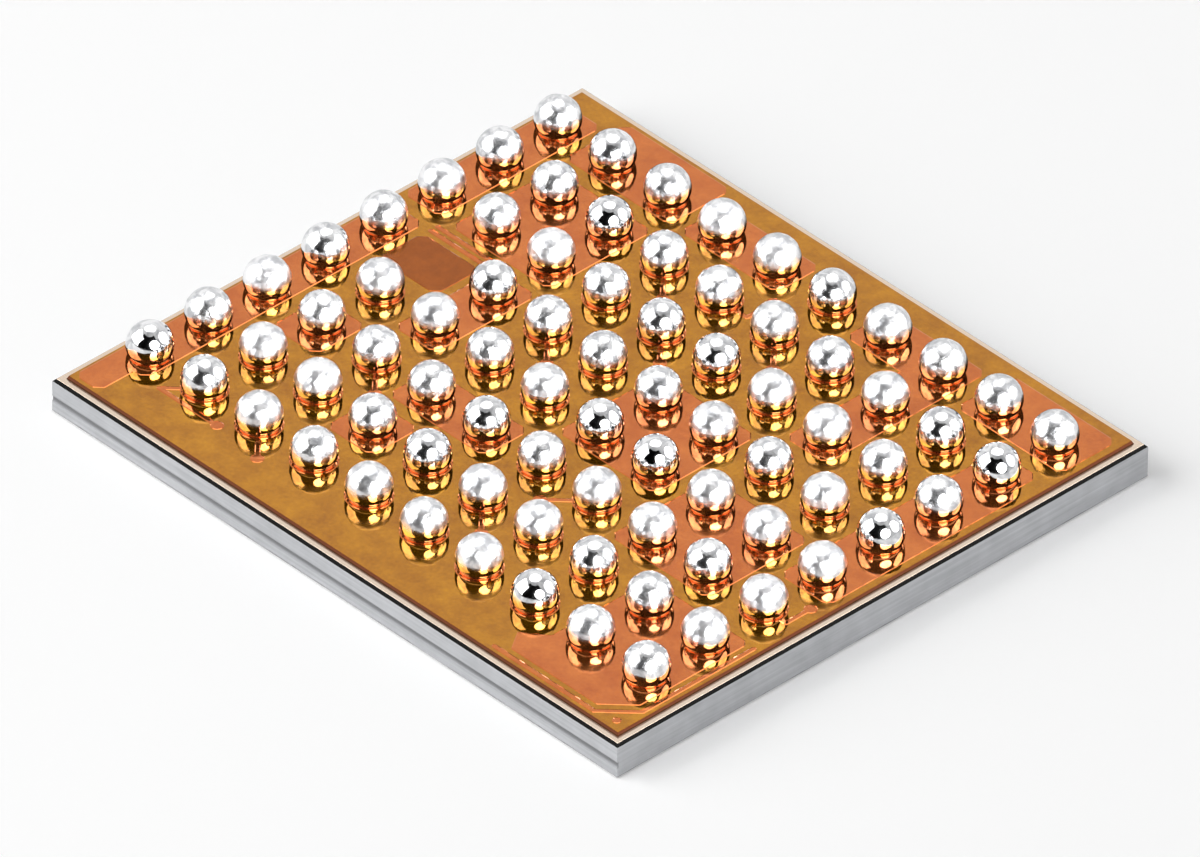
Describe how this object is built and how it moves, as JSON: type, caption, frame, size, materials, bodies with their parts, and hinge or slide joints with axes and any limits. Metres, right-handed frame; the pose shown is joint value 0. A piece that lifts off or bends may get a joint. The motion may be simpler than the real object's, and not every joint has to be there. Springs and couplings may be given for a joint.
{
  "type": "wafer-level ball grid array chip",
  "caption": "Bare rectangular chip lying on its back: grey silicon die, amber film over copper, and a square grid of solder balls with one site empty.",
  "frame": {"origin": "centre of the die's back face, on the surface it lies on", "axes": "+Z from the die's back to the balls, +X along the long side of the die, +Y towards the row that is nearest its edge"},
  "size_m": [0.0042, 0.0036, 0.0004],
  "materials": {
    "silicon": "sawn walls, polished street",
    "oxide_stack": "glassy stack, smooth",
    "aluminium_pads": "bright sputtered",
    "lower_polyimide": "clear amber, smooth",
    "redistribution_copper": "plated copper under a film",
    "upper_polyimide": "clear amber, glossy",
    "under_bump_copper": "plated copper",
    "solder": "reflowed tin alloy, frosted caps"
  },
  "bodies": {
    "root": {"silicon_die": "silicon", "circuit_layers": "oxide_stack", "bond_pads": "aluminium_pads", "lower_film": "lower_polyimide", "supply_plane_1": "redistribution_copper", "supply_plane_2": "redistribution_copper", "supply_plane_3": "redistribution_copper", "supply_plane_4": "redistribution_copper", "supply_plane_5": "redistribution_copper", "supply_plane_6": "redistribution_copper", "supply_plane_7": "redistribution_copper", "supply_plane_8": "redistribution_copper", "supply_plane_9": "redistribution_copper", "supply_plane_10": "redistribution_copper", "supply_plane_11": "redistribution_copper", "supply_plane_12": "redistribution_copper", "supply_plane_13": "redistribution_copper", "supply_plane_14": "redistribution_copper", "ground_plane": "redistribution_copper", "blank_land": "redistribution_copper", "signal_lands": "redistribution_copper", "guard_line": "redistribution_copper", "upper_film": "upper_polyimide", "under_bump_pads_row_1": "under_bump_copper", "under_bump_pads_row_2": "under_bump_copper", "under_bump_pads_row_3": "under_bump_copper", "under_bump_pads_row_4": "under_bump_copper", "under_bump_pads_row_5": "under_bump_copper", "under_bump_pads_row_6": "under_bump_copper", "under_bump_pads_row_7": "under_bump_copper", "under_bump_pads_row_8": "under_bump_copper", "solder_balls_row_1": "solder", "solder_balls_row_2": "solder", "solder_balls_row_3": "solder", "solder_balls_row_4": "solder", "solder_balls_row_5": "solder", "solder_balls_row_6": "solder", "solder_balls_row_7": "solder", "solder_balls_row_8": "solder"}
  },
  "joints": []
}
